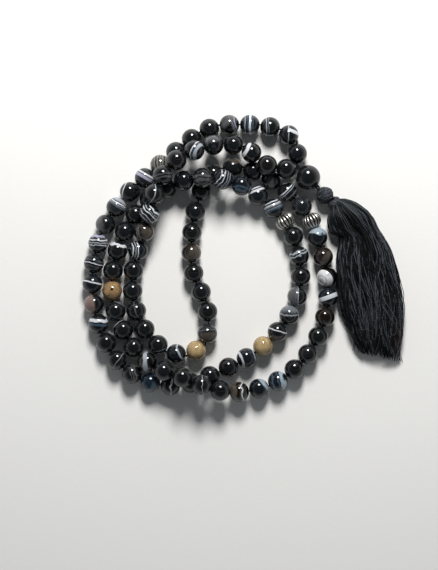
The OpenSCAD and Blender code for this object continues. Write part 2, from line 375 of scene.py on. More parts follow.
def rings(way, rise, *bands, wave=0.03):
    """Bands at a distance from the point of the surface in a direction, less 1."""
    return dict(way=way, rise=rise, wave=wave, bands=bands, round_point=True)


def band(place, half, colour=WHITE, soft=0.05):
    """One band, as across describes it."""
    return (place, half, colour, soft)


def cap(place, colour=WHITE, soft=0.06):
    """Everything past a place on the direction."""
    return (1.2 + place / 2, 1.2 - place / 2, colour, soft)


# Beads that show marks from above, by run and place: the base colour, then layers of bands.
MARKS = {
    ("first", 2): (BLACK, across(70, band(0.2, 0.04, UMBER), band(-0.3, 0.05, UMBER))),
    ("first", 3): (BLACK, across(152, band(0.66, 0.11))),
    ("first", 5): (BLACK, across(100, cap(0.6, SMOKE, 0.3), wave=0.2)),
    ("first", 6): (BLACK, across(-25, band(0.18, 0.025), band(0.56, 0.12, MIST, 0.06),
                                 band(0.36, 0.02, SLATE), rise=25)),
    ("first", 8): (BLACK, across(-80, band(0.1, 0.02, SMOKE), band(0.42, 0.03, SMOKE, 0.1),
                                 wave=0.12)),
    ("first", 9): (BLACK, across(165, band(0.3, 0.025, MIST, 0.04), rise=25)),
    ("first", 10): (INKY, across(42, band(-0.6, 0.03, MIST, 0.03), band(-0.3, 0.02, WHITE, 0.03),
                                 band(0.12, 0.04, WHITE, 0.03), band(0.36, 0.012, MIST, 0.03),
                                 band(0.66, 0.04, WHITE, 0.04), rise=8, wave=0.12)),
    ("first", 11): (UMBER, across(8, cap(0.15, TAUPE, 0.3), band(-0.3, 0.03, SMOKE, 0.08),
                                  band(-0.55, 0.03, SMOKE, 0.08), wave=0.12)),
    ("first", 12): (INKY, across(180, band(0.3, 0.025, WHITE, 0.03), band(0.5, 0.018, MIST, 0.03),
                                 band(0.7, 0.025, WHITE, 0.03), rise=22)),
    ("first", 15): (BLACK, across(18, band(0.18, 0.025, SMOKE, 0.06), wave=0.08)),
    ("first", 17): (BLACK, across(-75, band(0.45, 0.03, MIST, 0.04), rise=-10, wave=0.1)),
    ("first", 18): (INKY, across(25, band(0.6, 0.05, MIST), rise=20)),
    ("first", 19): (HONEY,),
    ("first", 20): (DARK_GREY, across(-85, cap(0.15, TAUPE, 0.14), band(-0.2, 0.02, SMOKE))),
    ("first", 24): (UMBER, across(-40, cap(0.1, TAUPE, 0.35), wave=0.12)),
    ("first", 29): (BLACK, across(80, cap(0.66, TAUPE, 0.14), wave=0.15)),
    ("first", 31): (BLACK, across(0, band(-0.05, 0.22, SMOKE, 0.16), rise=0)),
    ("first", 32): (BLACK, across(135, band(0.32, 0.025, WHITE, 0.04), band(0.1, 0.02, MIST, 0.04),
                                  band(-0.4, 0.02, GREY, 0.04), rise=10)),
    ("first", 33): (DARK_GREY, across(120, band(0.1, 0.25, DARK_GREY, 0.2))),
    ("second", 1): (INKY, across(75, cap(0.46, ICE, 0.12), rise=5, wave=0.24)),
    ("second", 2): (UMBER, across(-35, band(0.4, 0.14, TAUPE, 0.2), rise=10)),
    ("second", 3): (WHITE, rings(215, 42, cap(0.16, BLACK, 0.03), band(-0.85, 0.33, MIST, 0.03),
                                 band(-0.47, 0.05, DARK_GREY, 0.02))),
    ("second", 4): (INKY, across(110, band(0.0, 0.2, WHITE, 0.03), rise=0, wave=0.02)),
    ("second", 5): (UMBER, across(60, band(0.3, 0.2, UMBER, 0.2))),
    ("second", 7): (BLACK, across(130, band(0.5, 0.12, DARK_GREY, 0.3))),
    ("second", 9): (INKY, across(12, band(0.58, 0.17, ICE, 0.08), band(0.2, 0.025, SLATE),
                                 band(-0.35, 0.04, SLATE, 0.15), wave=0.16)),
    ("second", 10): (INKY, across(40, band(0.72, 0.1, ICE, 0.12), rise=0)),
    ("second", 11): (TAUPE, across(8, band(0.1, 0.14, UMBER, 0.06), band(0.46, 0.035, WHITE, 0.04),
                                   cap(0.6, BLACK, 0.05), wave=0.16)),
    ("second", 13): (BLACK, across(5, band(0.1, 0.025, MIST, 0.03), rise=0, wave=0.2)),
    ("second", 16): (UMBER, across(0, band(-0.05, 0.17, MIST, 0.08), cap(0.4, BLACK, 0.1), rise=8,
                                   wave=0.1)),
    ("second", 18): (BLACK, across(135, band(0.66, 0.035, MIST, 0.03), rise=-18)),
    ("second", 19): (BLACK, across(65, band(0.74, 0.03, GREY, 0.05), rise=-12)),
    ("second", 20): (AMBER, rings(80, 80, band(-0.95, 0.05, UMBER, 0.05)),
                     rings(235, 55, band(-0.97, 0.03, UMBER, 0.04))),
    ("second", 22): (BLACK, across(76, band(0.58, 0.13, WHITE, 0.05), rise=0, wave=0.16)),
    ("second", 25): (BLACK, across(165, band(0.5, 0.03, MIST, 0.04), rise=20)),
    ("second", 28): (BLACK, across(-88, band(0.05, 0.05, SMOKE, 0.12), band(0.42, 0.08, SMOKE, 0.1),
                                   wave=0.16)),
    ("second", 29): (INKY, across(152, band(0.62, 0.018, WHITE, 0.03), band(0.34, 0.018, WHITE, 0.03),
                                  band(0.0, 0.018, MIST, 0.03), band(-0.3, 0.015, MIST, 0.03),
                                  rise=22, wave=0.1)),
    ("second", 30): (INKY, across(-100, band(0.4, 0.03, SLATE, 0.12), band(0.7, 0.04, SLATE, 0.1),
                                  wave=0.14)),
    ("second", 31): (INKY, across(112, band(0.72, 0.05), band(0.42, 0.09, WHITE, 0.04), rise=-5)),
    ("second", 32): (INKY, across(114, band(0.62, 0.025), band(0.2, 0.2, WHITE, 0.03),
                                  band(-0.15, 0.06, SLATE, 0.1), rise=0)),
    ("third", 2): (BLACK, across(112, band(0.25, 0.05, MIST), band(0.55, 0.04, MIST), wave=0.2)),
    ("third", 4): (BLACK, across(180, cap(0.2, SMOKE, 0.1), band(0.02, 0.1, MIST, 0.04), rise=0)),
    ("third", 5): (BLACK, across(84, cap(0.12, GREY, 0.12), band(0.1, 0.04, MIST, 0.08), rise=8,
                                 wave=0.12)),
    ("third", 6): (BLACK, across(72, band(0.12, 0.035, WHITE, 0.04), rise=0),
                   across(-95, cap(0.42, TAUPE, 0.1), rise=0)),
    ("third", 7): (HONEY,),
    ("third", 8): (INKY, across(200, band(0.6, 0.08, WHITE, 0.04), band(-0.74, 0.05, MIST, 0.05),
                                rise=10)),
    ("third", 12): (BLACK, across(-5, band(0.25, 0.035, MIST, 0.05), band(-0.6, 0.07, SMOKE, 0.12),
                                  wave=0.14)),
    ("third", 13): (rgb(14, 30, 42), across(-30, band(0.6, 0.05, ICE, 0.04),
                                            band(0.1, 0.1, SLATE, 0.2), rise=-22)),
    ("third", 14): (BLACK, across(10, band(0.2, 0.02, SMOKE), band(0.4, 0.03, SMOKE),
                                  band(0.6, 0.02, SMOKE), wave=0.22)),
    ("third", 15): (BLACK, across(-35, band(0.15, 0.025, GREY, 0.05), rise=0)),
    ("third", 17): (BLACK, across(88, band(0.34, 0.12, WHITE, 0.06), band(-0.1, 0.08, SLATE, 0.08),
                                  rise=0, wave=0.1)),
    ("third", 18): (BLACK, across(188, cap(0.15, ROSE, 0.2), rise=10)),
    ("third", 19): (INKY, across(77, band(0.14, 0.06, WHITE, 0.03), rise=0, wave=0.03)),
    ("third", 20): (INKY, across(76, band(0.0, 0.028, WHITE, 0.04), band(-0.3, 0.02, SMOKE),
                                 band(0.3, 0.02, SMOKE), rise=0, wave=0.08)),
    ("third", 21): (DARK_GREY, across(88, band(0.42, 0.04, WHITE), band(0.74, 0.06, LILAC),
                                      band(0.1, 0.025, MIST), band(-0.15, 0.02, WHITE), rise=5,
                                      wave=0.15)),
    ("third", 22): (BLACK, across(190, cap(0.5, SMOKE, 0.3))),
    ("third", 23): (DARK_GREY, across(58, cap(0.72, MIST, 0.2), band(0.46, 0.05, WHITE, 0.05),
                                      band(0.26, 0.015, MIST, 0.04), band(0.1, 0.015, GREY, 0.04),
                                      rise=0, wave=0.08)),
    ("third", 24): (BLACK, across(165, band(0.42, 0.03, WHITE, 0.04), rise=-15)),
    ("third", 25): (DARK_GREY, across(60, band(0.36, 0.06, WHITE), band(0.02, 0.13, LILAC),
                                      rise=0, wave=0.03)),
    ("third", 26): (rgb(112, 110, 105), across(4, band(-0.62, 0.06, SMOKE, 0.08),
                                               band(-0.3, 0.03, UMBER, 0.08),
                                               band(0.0, 0.02, UMBER, 0.06),
                                               band(0.24, 0.04, SMOKE, 0.06),
                                               band(0.5, 0.03, UMBER, 0.08), rise=5, wave=0.08)),
    ("third", 27): (BLACK, across(88, cap(0.4, DARK_GREY, 0.3))),
    ("third", 30): (BLACK, across(15, band(0.6, 0.1, LILAC, 0.06), band(0.4, 0.03, SMOKE, 0.08),
                                  rise=10),
                    across(140, band(0.5, 0.12, SMOKE, 0.25))),
    ("third", 31): (INKY, across(0, band(-0.42, 0.02, MIST), band(-0.2, 0.02, SLATE),
                                 band(0.08, 0.1, WHITE, 0.04), band(0.36, 0.04, SLATE, 0.05),
                                 rise=5)),
    ("third", 32): (BLACK, across(182, band(0.38, 0.025, MIST), band(0.16, 0.02, GREY), rise=0)),
    ("third", 33): (BLACK, across(65, band(0.45, 0.14, WHITE, 0.05), rise=0),
                    across(178, cap(0.14, DARK_GREY, 0.05), band(0.04, 0.025, MIST, 0.04), rise=0)),
}


def banded(tree, where, under, layer, seed):
    """Lays a layer's bands over the colour under them."""
    shift = node(tree, "ShaderNodeVectorMath", {0: where, 1: (seed, 2 * seed, -seed)},
                 operation="ADD").outputs[0]
    sway = noise(tree, shift, 1.6, 3.0).outputs["Color"]
    centred = node(tree, "ShaderNodeVectorMath", {0: sway, 1: (0.5, 0.5, 0.5)},
                   operation="SUBTRACT").outputs[0]
    moved = node(tree, "ShaderNodeVectorMath", operation="MULTIPLY_ADD",
                 inputs={0: centred, 1: (4 * layer["wave"],) * 3, 2: where}).outputs[0]
    bearing, rise = math.radians(layer["way"]), math.radians(layer["rise"])
    way = (math.cos(bearing) * math.cos(rise), math.sin(bearing) * math.cos(rise), math.sin(rise))
    if layer["round_point"]:
        far = node(tree, "ShaderNodeVectorMath", {0: moved, 1: way}, operation="DISTANCE")
        along = math_node(tree, "SUBTRACT", far.outputs["Value"], 1.0)
    else:
        dot = node(tree, "ShaderNodeVectorMath", {0: moved, 1: way}, operation="DOT_PRODUCT")
        along = dot.outputs["Value"]
    place = math_node(tree, "MULTIPLY_ADD", along, 0.5, 0.5)
    ramp = node(tree, "ShaderNodeValToRGB", {0: place})
    stops = []
    for at, half, colour, soft in sorted(layer["bands"], key=lambda b: b[0]):
        for edge, solid in ((-half - soft, 0), (-half, 1), (half, 1), (half + soft, 0)):
            stops.append((min(max((at + edge + 1) / 2, 0), 1), (*colour[:3], solid)))
    elements = ramp.color_ramp.elements
    while len(elements) < len(stops):
        elements.new(1)
    for element, (position, colour) in zip(elements, sorted(stops, key=lambda s: s[0])):
        element.position = position
        element.color = colour
    return mixed(tree, ramp.outputs["Alpha"], under, ramp.outputs["Color"])


def stone_material(name, look, seed):
    """Polished agate: clouds and hair-fine lines in the base, then the bead's own bands."""
    material, tree, shader = new_material(name)
    where = node(tree, "ShaderNodeAttribute", attribute_name="local").outputs["Vector"]
    base, layers = look[0], look[1:]
    clouds = noise(tree, where, 1.7 + 0.1 * (seed % 5), 4.0).outputs[0]
    paler = tuple(min(1, 1.7 * c + 0.003) for c in base[:3]) + (1,)
    darker = tuple(0.55 * c for c in base[:3]) + (1,)
    colour = mixed(tree, spread(tree, clouds, -0.4, 1.4), darker, paler)
    turn = math.radians(37 * seed)
    lines = node(tree, "ShaderNodeTexWave", {
        "Vector": node(tree, "ShaderNodeVectorRotate", rotation_type="EULER_XYZ", inputs={
            "Vector": where, "Rotation": (turn, 0.7 * turn, 1.3 * turn)}).outputs[0],
        "Scale": 2.4, "Distortion": 2.5, "Detail": 2.0}).outputs[0]
    fine = math_node(tree, "POWER", lines, 9.0)
    colour = mixed(tree, math_node(tree, "MULTIPLY", fine, 0.2), colour, mixed(
        tree, 0.6, paler, GREY))
    for layer in layers:
        colour = banded(tree, where, colour, layer, seed)
        seed += 3.7
    clear = base in (HONEY, AMBER)
    if clear:
        # Painted shade: the rims of the clear beads are painted a deeper brown where the view grazes
        # them.
        facing = node(tree, "ShaderNodeLayerWeight", {"Blend": 0.35}).outputs["Facing"]
        colour = mixed(tree, facing, colour, rgb(98, 74, 44))
    tree.links.new(colour, shader.inputs["Base Color"])
    wear = noise(tree, where, 6.0, 3.0).outputs[0]
    tree.links.new(spread(tree, wear, 0.05, 0.13), shader.inputs["Roughness"])
    shader.inputs["IOR"].default_value = 1.54
    if clear:
        shader.inputs["Subsurface Weight"].default_value = 0.6
        shader.inputs["Subsurface Radius"].default_value = (1.0, 0.6, 0.3)
        shader.inputs["Subsurface Scale"].default_value = 2 * MM
    add_bump(tree, shader, noise(tree, where, 40, 2.0).outputs[0], 0.004 * MM)
    return material


def add_stones():
    """One piece for each bead on a body of its own, and one for each group of beads."""
    plain = [stone_material(f"black_agate_{k}", (base,), 11 + k)
             for k, base in enumerate((BLACK, rgb(6, 11, 11), rgb(10, 9, 12), rgb(7, 10, 15)))]
    by_node = {}
    for m in stones:
        by_node.setdefault(m["node"], []).append(m)
    points, faces = drilled_ball(BEAD_R, BORE_R)
    for name, beads in by_node.items():
        corners, quads, local, kinds, materials = [], [], [], [], []
        for k, m in enumerate(beads):
            run, place = m["name"]
            if m["name"] in MARKS:
                material = stone_material(f"agate_{run}_{place:02d}", MARKS[m["name"]],
                                          place + 40 * len(run))
            else:
                material = plain[(place * 7 + len(run)) % len(plain)]
            if material not in materials:
                materials.append(material)
            placed = points @ turned_to(m["way"]).T
            corners.append(placed + m["at"])
            local.append(placed / BEAD_R)
            quads.append(faces + k * len(points))
            kinds += [materials.index(material)] * len(faces)
        add_piece(name + "_polished", np.concatenate(corners), np.concatenate(quads), materials,
                  beads[0]["body"], [name],
                  {"local": np.concatenate(local)}, kinds)


def add_guru():
    """The large plain bead where both cord ends leave the loop."""
    hinge = HINGES["guru"]
    low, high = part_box("guru_bead")
    radius = max(high - low) / 2
    points, faces = drilled_ball(radius, GURU_BORE_R, sides=64, steps=34)
    placed = points @ turned_to(hinge["axis"]).T
    add_piece("guru_bead_polished", placed + hinge["pos_m"], faces,
              [stone_material("guru_stone", (rgb(9, 12, 13),), 5)], "guru",
              ["guru_bead"], {"local": placed / radius})


# ---------------------------------------------------------------- silver dividers

# The ribs round a divider, how deep the grooves are, the radius over the ribs, the radius of
# the two flat ends, and how far the bore's mouth is rounded.
RIBS = 16
GROOVE = 0.64 * MM
DIVIDER_R = 4 * MM
RIM_R = 0.52 * DIVIDER_R
RIM_LIP = 0.16 * MM


def silver_material():
    """Bright silver, dark in the grooves and lightly scratched."""
    material, tree, shader = new_material("oxidised_silver")
    depth = node(tree, "ShaderNodeAttribute", attribute_name="depth").outputs["Fac"]
    where = node(tree, "ShaderNodeAttribute", attribute_name="local").outputs["Vector"]
    grime = noise(tree, where, 9, 4).outputs[0]
    dark = math_node(tree, "MULTIPLY_ADD", grime, 0.5, math_node(tree, "SUBTRACT", depth, 0.25))
    dark = node(tree, "ShaderNodeMapRange", {"Value": dark, "From Min": 0.12, "From Max": 0.5},
                interpolation_type="SMOOTHSTEP").outputs[0]
    tree.links.new(mixed(tree, dark, rgb(206, 204, 200), rgb(16, 14, 13)),
                   shader.inputs["Base Color"])
    shader.inputs["Metallic"].default_value = 1.0
    tree.links.new(spread(tree, math_node(tree, "MULTIPLY_ADD", dark, 0.7, grime), 0.14, 0.5),
                   shader.inputs["Roughness"])
    add_bump(tree, shader, noise(tree, where, 30, 3).outputs[0], 0.02 * MM)
    return material


def divider_shape(half):
    """A drum with ribs from hole to hole and a bore: (points, faces, how deep each point lies)."""
    sides = RIBS * 12
    t = np.linspace(-1, 1, 22)
    swell = np.sqrt(np.clip(1 - (t * math.sqrt(1 - (RIM_R / DIVIDER_R) ** 2)) ** 2, 0, 1))
    angles = np.linspace(0, 2 * np.pi, sides, endpoint=False)
    rib = np.abs(np.cos(RIBS * angles / 2)) ** 0.8
    fade = np.clip((1 - np.abs(t)) / 0.16, 0, 1) ** 0.5
    depth = (1 - rib)[:, None] * fade[None, :]
    radius = DIVIDER_R * swell[None, :] - GROOVE * depth
    height = np.tile(half * t, (sides, 1))
    rim = RIM_R - 2.2 * RIM_LIP
    bore_r = [rim, BORE_R + RIM_LIP, BORE_R, BORE_R, BORE_R + RIM_LIP, rim]
    sunk = [half - RIM_LIP, half - 0.5 * RIM_LIP, half - 3 * RIM_LIP]
    bore_h = sunk + [-h for h in reversed(sunk)]
    radius = np.concatenate([radius, np.tile(bore_r, (sides, 1))], axis=1)
    height = np.concatenate([height, np.tile(bore_h, (sides, 1))], axis=1)
    depth = np.concatenate([depth, np.tile([0.9, 0.3, 1, 1, 0.3, 0.9], (sides, 1))], axis=1)
    points = np.stack([radius * np.cos(angles)[:, None], radius * np.sin(angles)[:, None],
                       height], axis=2).reshape(-1, 3)
    return points, grid_faces(sides, radius.shape[1], True, True), depth.ravel()


def add_dividers():
    """The two short silver drums."""
    material = silver_material()
    for m in dividers:
        points, faces, depth = divider_shape(m["half"])
        placed = points @ turned_to(m["way"]).T
        add_piece(m["node"] + "_silver", placed + m["at"], faces, [material], m["body"],
                  [m["node"]], {"local": placed / DIVIDER_R, "depth": depth})


# ---------------------------------------------------------------- cord and thread

def thread_material(name, base, paler, tip=None, sheen=0.35):
    """Twisted thread: each thread its own shade, with a ply line that winds along it."""
    material, tree, shader = new_material(name)
    shade = node(tree, "ShaderNodeAttribute", attribute_name="shade").outputs["Fac"]
    along = node(tree, "ShaderNodeAttribute", attribute_name="along").outputs["Fac"]
    turn = node(tree, "ShaderNodeAttribute", attribute_name="turn").outputs["Fac"]
    ply = math_node(tree, "SINE", math_node(tree, "MULTIPLY_ADD", along, 6.0, turn))
    ply = math_node(tree, "MULTIPLY_ADD", ply, 0.5, 0.5)
    share = math_node(tree, "MULTIPLY", shade, math_node(tree, "MULTIPLY_ADD", ply, 0.5, 0.5))
    colour = mixed(tree, share, base, paler)
    if tip is not None:
        tipped = node(tree, "ShaderNodeAttribute", attribute_name="tip").outputs["Fac"]
        colour = mixed(tree, tipped, colour, tip)
    tree.links.new(colour, shader.inputs["Base Color"])
    tree.links.new(spread(tree, shade, 0.38, 0.6), shader.inputs["Roughness"])
    shader.inputs["Sheen Weight"].default_value = sheen
    shader.inputs["Sheen Roughness"].default_value = 0.35
    shader.inputs["Specular IOR Level"].default_value = 0.1
    add_bump(tree, shader, ply, 0.03 * MM)
    return material


def tubes(paths, radii, sides, shades, tips=None, lobes=0, pitch=0.0, lobe_depth=0.12):
    """Round threads along paths: (points, faces, attributes). Lobes wind round a corded one."""
    points, faces, shade, along, turn, tip = [], [], [], [], [], []
    start = 0
    angles = np.linspace(0, 2 * np.pi, sides, endpoint=False)
    for k, (path, radius) in enumerate(zip(paths, radii)):
        path = np.asarray(path, float)
        count = len(path)
        way = np.gradient(path, axis=0)
        way /= np.linalg.norm(way, axis=1)[:, None] + 1e-12
        side = np.cross(way, (0, 0, 1.0))
        flat = np.linalg.norm(side, axis=1) < 1e-3
        side[flat] = np.cross(way[flat], (1.0, 0, 0))
        side /= np.linalg.norm(side, axis=1)[:, None]
        up = np.cross(side, way)
        walked = walked_along(path)
        taper = np.ones(count)
        taper[[0, -1]] = 0.45
        size = np.broadcast_to(radius, count) * taper
        ring = size[:, None] * np.ones(sides)
        if lobes:
            wound = angles[None, :] * lobes + 2 * np.pi * walked[:, None] / pitch * lobes
            ring = ring * (1 - lobe_depth + lobe_depth * np.cos(wound))
        body = (path[:, None, :] + ring[:, :, None] * (np.cos(angles)[None, :, None]
                * side[:, None, :] + np.sin(angles)[None, :, None] * up[:, None, :]))
        points.append(body.reshape(-1, 3))
        points.append(path[[0, -1]])
        faces.append(grid_faces(count, sides, False, True) + start)
        first, last = start + count * sides, start + count * sides + 1
        j = np.arange(sides)
        k1 = (j + 1) % sides
        faces.append(np.stack([np.full(sides, first), start + k1, start + j,
                               np.full(sides, first)], axis=1))
        end = start + (count - 1) * sides
        faces.append(np.stack([np.full(sides, last), end + j, end + k1,
                               np.full(sides, last)], axis=1))
        start = last + 1
        shade.append(np.full(count * sides + 2, shades[k]))
        along.append(np.append(np.repeat(walked / MM, sides), [0, walked[-1] / MM]))
        turn.append(np.append(np.tile(angles, count), [0, 0]))
        reach = np.clip((np.linspace(0, 1, count) - 0.86) / 0.14, 0, 1)
        amount = 0 if tips is None else tips[k]
        tip.append(np.append(np.repeat(amount * reach, sides), [0, amount]))
    quads = [[q[0], q[1], q[2]] if q[0] == q[3] else list(q) for q in np.concatenate(faces).tolist()]
    values = {"shade": np.concatenate(shade), "along": np.concatenate(along),
              "turn": np.concatenate(turn), "tip": np.concatenate(tip)}
    return np.concatenate(points), quads, values


def add_threads(name, paths, radii, sides, shades, material, body, slot, replaced=(), **more):
    """A piece made of round threads."""
    points, faces, values = tubes(paths, radii, sides, shades, **more)
    add_piece(name, points, faces, [material], body, replaced, values)


CORD_R = 0.4 * MM
CORD_STEP = 0.3 * MM
CORD_PITCH = 2.4 * MM
# The two cord ends in the large bead: half the distance between their middles, and half the
# length of each, which runs on a little into the knots at both of its ends.
ENDS_APART = 0.43 * MM
ENDS_REACH = 6.6 * MM
cord_black = thread_material("cord_thread", rgb(10, 10, 12), rgb(30, 31, 35), sheen=0.05)


def along_path(corners, step):
    """Points every step along straight stretches between corners."""
    corners = np.asarray(corners)
    walked = walked_along(corners)
    stations = np.linspace(0, walked[-1], max(3, int(walked[-1] / step)))
    return np.stack([np.interp(stations, walked, corners[:, a]) for a in range(3)], axis=1)


def bore_points(part):
    """The cord's corners through some members: in and out of each bore."""
    return [m["at"] + side * (m["half"] - 0.1 * MM) * m["way"] for m in part for side in (-1, 1)]


def wound_ball(centre, way, radius, turns, reach, steps):
    """Turns of thread wound over a ball, most of them round its axis."""
    found = []
    for _ in range(turns):
        lean = rng.normal(0, 0.38, 2)
        axis = turned_to(way) @ np.array([lean[0], lean[1], 1.0])
        offset = rng.uniform(-0.8, 0.8) * radius
        ring = math.sqrt(max(radius ** 2 - offset ** 2, 1e-12))
        t = np.linspace(0, 2 * np.pi * 1.02, steps) + rng.uniform(0, 6)
        swell = 1 + 0.05 * np.sin(3 * t + rng.uniform(0, 6)) + rng.uniform(-0.03, 0.05)
        local = np.stack([ring * swell * np.cos(t), ring * swell * np.sin(t),
                          offset + 0.12 * reach * np.sin(2 * t)], axis=1)
        found.append(centre + local @ turned_to(axis).T)
    return found


def add_cords():
    """The stringing cord, in the three stretches that the middle run's roll parts it into."""
    mouth = np.array(sum(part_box("mouth_knot"), Vector()) / 2)
    inside = [k for k, m in enumerate(strand) if m["body"] == "middle_run"
              or HINGES.get(m["body"], {}).get("parent") == "middle_run"]
    first, last = min(inside), max(inside)

    def between(k):
        """The joint in the gap before member k."""
        a, b = strand[k - 1], strand[k]
        return (a["at"] + a["half"] * a["way"] + b["at"] - b["half"] * b["way"]) / 2
    stretches = (
        ("cord_first_part", "strand", [mouth] + bore_points(strand[:first]) + [between(first)]),
        ("cord_middle_part", "middle_run",
         [between(first)] + bore_points(strand[first:last + 1]) + [between(last + 1)]),
        ("cord_last_part", "strand", [between(last + 1)] + bore_points(strand[last + 1:]) + [mouth]),
    )
    for name, body, corners in stretches:
        add_threads(name + "_twisted", [along_path(corners, CORD_STEP)], [CORD_R], 12, [0.5],
                    cord_black, body, "cord", [name], lobes=3, pitch=CORD_PITCH)
    low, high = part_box("guru_cords")
    way = np.array(HINGES["guru"]["axis"])
    across_way = turned_to(way)[:, 0]
    middle = np.array((low + high) / 2)
    ends = [[middle - ENDS_REACH * way + side * ENDS_APART * across_way,
             middle + ENDS_REACH * way + side * ENDS_APART * across_way] for side in (-1, 1)]
    add_threads("guru_cords_twisted", [along_path(e, CORD_STEP) for e in ends], [CORD_R] * 2, 12,
                [0.4, 0.6], cord_black, "strand", "cord", ["guru_cords"], lobes=3, pitch=CORD_PITCH)
    loops = wound_ball(mouth, way, 0.55 * MM, 7, 0.28 * MM, 24)
    add_threads("mouth_knot_tied", loops, [0.27 * MM] * len(loops), 8, rng.random(len(loops)),
                cord_black, "strand", "cord", ["mouth_knot"])


# ---------------------------------------------------------------- tassel

# The outline seen from above, from the lump to the tips, in millimetres: the left edge's x and y,
# the right edge's x and y, and half the height of the threads between them.
OUTLINE = [(36.3, 23.2, 39.4, 25.8, 2.2), (36.3, 21.7, 42.2, 25.8, 3.6),
           (35.2, 18.2, 46.4, 24.0, 4.3), (35.2, 15.2, 51.0, 20.9, 4.6),
           (36.4, 12.0, 53.6, 17.0, 4.6), (40.4, 10.0, 55.6, 12.6, 4.3),
           (39.6, 6.4, 58.4, 8.6, 4.5), (39.1, 2.0, 60.8, 4.0, 4.7),
           (39.3, -5.6, 63.0, -3.6, 4.8), (40.6, -13.8, 65.0, -11.8, 4.8),
           (42.4, -22.6, 65.6, -21.4, 4.4), (44.6, -30.0, 65.2, -31.0, 3.6),
           (46.6, -34.6, 64.6, -37.2, 2.8), (48.4, -37.4, 64.0, -41.0, 2.2)]
# The outline is drawn for a view 2% wider than the camera's. These bring its edges to this one.
OUTLINE_GROW = 0.98
OUTLINE_SHIFT = (-0.2, -0.9)
THREAD_R = 0.15 * MM


def tassel_curve(samples=160):
    """Smooth sections from the lump to the tips: (centre, side, half width, half height)."""
    drawn = np.array(OUTLINE)
    drawn[:, :4] = OUTLINE_GROW * drawn[:, :4] + np.tile(OUTLINE_SHIFT, 2)
    drawn *= MM
    middle = (drawn[:, :2] + drawn[:, 2:4]) / 2
    walked = walked_along(middle)
    fine = np.linspace(0, walked[-1], samples)
    columns = []
    kernel = np.hanning(9) / np.hanning(9).sum()
    for c in range(5):
        column = np.interp(fine, walked, drawn[:, c])
        padded = np.concatenate([2 * column[0] - column[4:0:-1], column,
                                 2 * column[-1] - column[-2:-6:-1]])
        columns.append(np.convolve(padded, kernel, mode="valid"))
    left, right = np.stack(columns[:2], axis=1), np.stack(columns[2:4], axis=1)
    height = columns[4]
    half = np.linalg.norm(left - right, axis=1) / 2
    side = np.zeros((samples, 3))
    side[:, :2] = (left - right) / (2 * half[:, None])
    centre = np.column_stack([(left + right) / 2, height])
    return centre, side, half, height


TASSEL = tassel_curve()


def sections(t):
    """(centre, side, half width, half height) at places from 0 at the lump to 1 at the tips."""
    rows = np.arange(len(TASSEL[0]))

    def follow(values):
        return np.interp(t * (len(rows) - 1), rows, values)
    centre, side, half, height = TASSEL
    return (np.stack([follow(column) for column in centre.T], axis=1),
            np.stack([follow(column) for column in side.T], axis=1), follow(half), follow(height))


def above_floor(path):
    """A path lifted where it would sink into the floor."""
    path[:, 2] = np.maximum(path[:, 2], THREAD_R * 1.1)
    return path


def thread_paths(count, low, high, segments, drift, crimp):
    """Threads over the tassel, in locks that wander together. low and high bound how deep."""
    locks = 30
    lock_turn = rng.uniform(0, 2 * np.pi, (locks, 3))
    lock_size = rng.uniform(0.3, 1, (locks, 3))
    lock_end = rng.uniform(0.9, 1.0, locks)
    lock_deep = rng.uniform(-0.1, 0.03, locks)
    found = []
    for _ in range(count):
        bearing = rng.uniform(0, 2 * np.pi)
        lock = int(bearing / (2 * np.pi) * locks + rng.normal(0, 0.5)) % locks
        deep = rng.uniform(low, high) + lock_deep[lock]
        end = min(1, lock_end[lock] + rng.normal(-0.02, 0.03))
        t = np.linspace(0.0, end, segments)
        sway = sum(lock_size[lock, n] * np.sin((n + 1) * 3.1 * t + lock_turn[lock, n])
                   for n in range(3)) * drift
        own = rng.normal(0, 0.5) * drift * np.sin(3.2 * t + rng.uniform(0, 6))
        angle = bearing + (sway + own) * t
        depth = deep + 0.03 * np.sin(9 * t + rng.uniform(0, 6))
        centre, side, half, height = sections(t)
        grow = np.clip(t / 0.15, 0, 1)
        waves = rng.uniform(16, 34, 2)
        wave = crimp * grow * (np.sin(waves[0] * t + rng.uniform(0, 6))
                               + 0.6 * np.sin(waves[1] * 1.9 * t + rng.uniform(0, 6)))
        path = centre + (half * depth * np.cos(angle) + wave)[:, None] * side
        path[:, 2] += (height * depth * np.sin(angle)
                       + 0.7 * crimp * grow * np.sin(waves[1] * t))
        found.append(above_floor(path))
    return found


def edge_paths():
    """Loose threads that leave the left edge of the skirt and come back to it."""
    found = []
    for _ in range(15):
        start, stop = rng.uniform(0.27, 0.33), rng.uniform(0.72, 0.88)
        t = np.linspace(start, stop, 40)
        u = (t - start) / (stop - start)
        out = (0.3 + 2.2 * rng.uniform(0.2, 1)) * MM * np.sin(np.pi * u ** 2) ** 1.2
        centre, side, half = sections(t)[:3]
        path = centre + (half * 0.97 + out)[:, None] * side
        path[:, 2] = 1.2 * MM + 0.9 * MM * np.sin(7 * u + rng.uniform(0, 6)) * (1 - u)
        found.append(above_floor(path))
    return found


def tip_paths():
    """Short loose ends at the tips."""
    found = []
    for _ in range(36):
        turn = rng.uniform(-1, 1)
        t = np.linspace(rng.uniform(0.80, 0.9), rng.uniform(0.99, 1.0), 16)
        u = (t - t[0]) / (t[-1] - t[0])
        centre, side, half, height = sections(t)
        out = half * turn * (1 + 0.18 * u ** 2) + rng.normal(0, 1.2) * MM * u ** 2
        path = centre + out[:, None] * side
        path[:, 2] = height * rng.uniform(0.3, 1.7) * (1 - 0.5 * u)
        found.append(above_floor(path))
    return found


